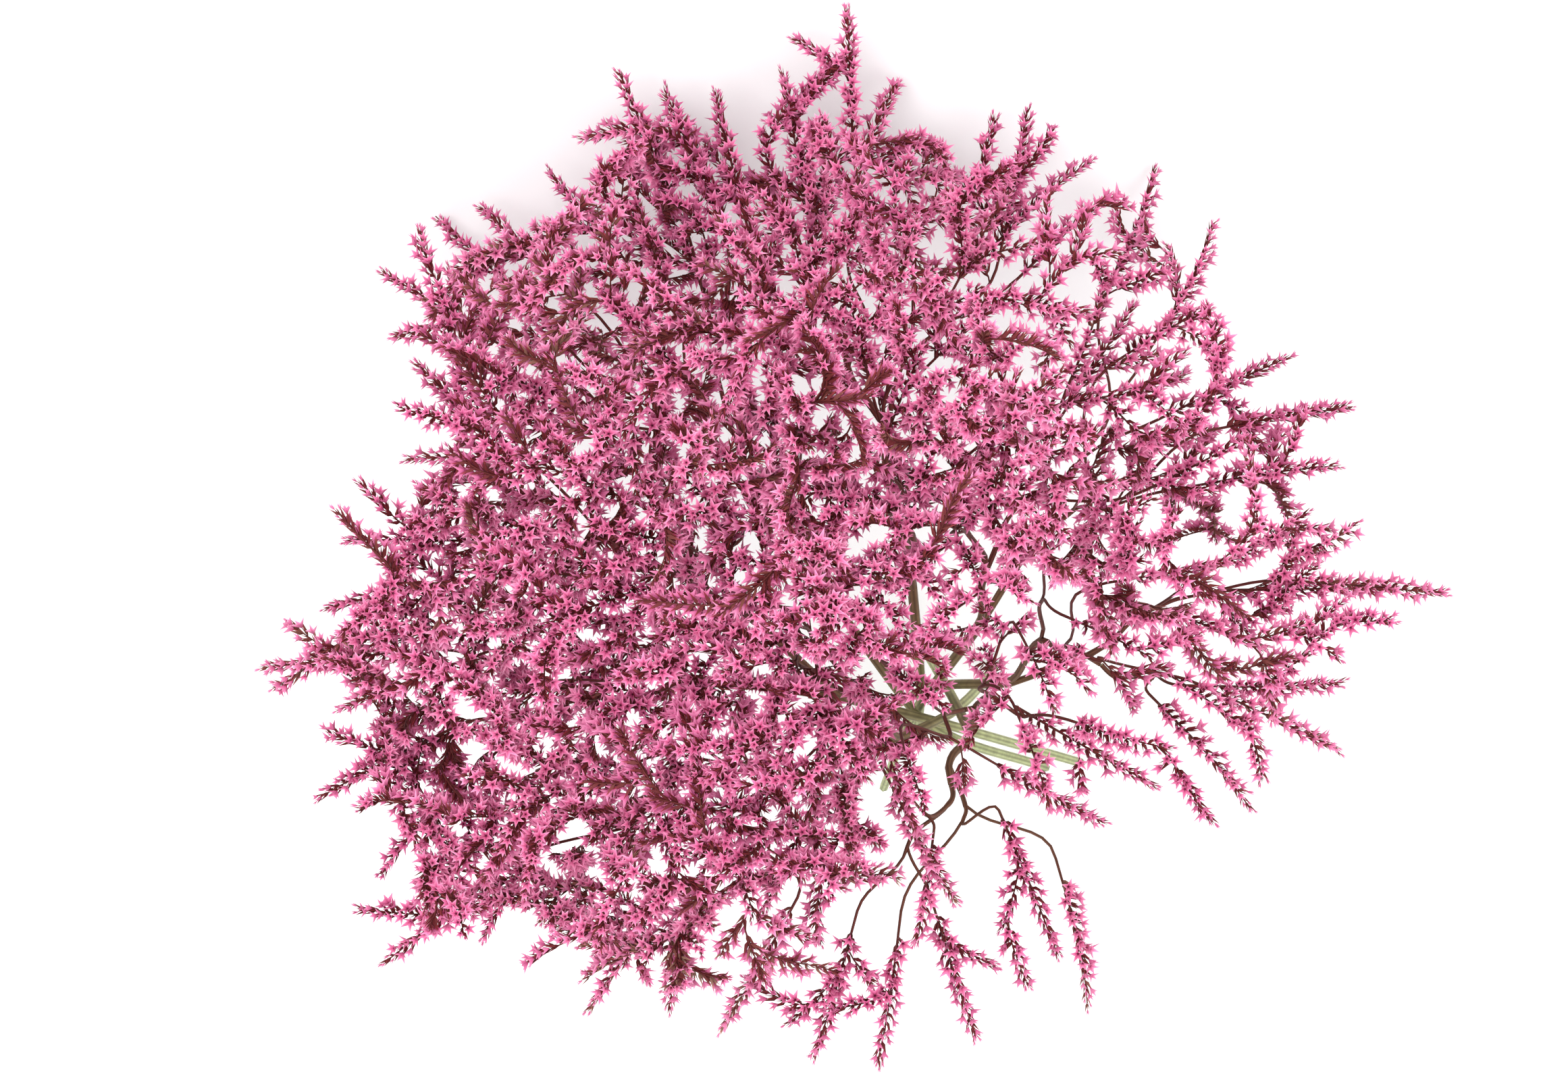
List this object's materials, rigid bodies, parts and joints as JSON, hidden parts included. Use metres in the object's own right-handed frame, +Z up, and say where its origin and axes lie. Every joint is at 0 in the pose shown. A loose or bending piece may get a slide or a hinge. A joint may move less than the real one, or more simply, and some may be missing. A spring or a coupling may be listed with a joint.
{
  "type": "dried statice bunch",
  "caption": "Loose bunch of cut dried statice lying on its side: stems that fan out and fork into airy, one-sided spikes of pink star-shaped florets.",
  "frame": {"origin": "centre of the bunch's outline box, on the surface that it lies on", "axes": "+Z up from the surface, +X across the widest side of the crown, +Y towards the cut ends"},
  "size_m": [0.4252, 0.373, 0.2788],
  "materials": {
    "stem": "dry, ridged, pale green to brown",
    "spray": "papery, matte"
  },
  "bodies": {
    "root": {"spray_01": "spray", "spray_02": "spray", "spray_03": "spray", "spray_04": "spray", "spray_05": "spray", "spray_06": "spray", "spray_07": "spray", "spray_08": "spray", "spray_09": "spray", "spray_10": "spray", "spray_11": "spray", "spray_12": "spray", "spray_13": "spray", "spray_14": "spray", "spray_15": "spray", "spray_16": "spray", "spray_17": "spray", "spray_18": "spray", "spray_19": "spray", "spray_20": "spray", "spray_21": "spray", "spray_22": "spray", "spray_23": "spray", "spray_24": "spray", "spray_25": "spray", "spray_26": "spray", "spray_27": "spray", "spray_28": "spray", "spray_29": "spray", "spray_30": "spray", "spray_31": "spray", "spray_32": "spray", "stem_1": "stem", "stem_2": "stem", "stem_3": "stem", "stem_4": "stem", "stem_5": "stem", "stem_6": "stem", "stem_7": "stem"}
  },
  "joints": []
}
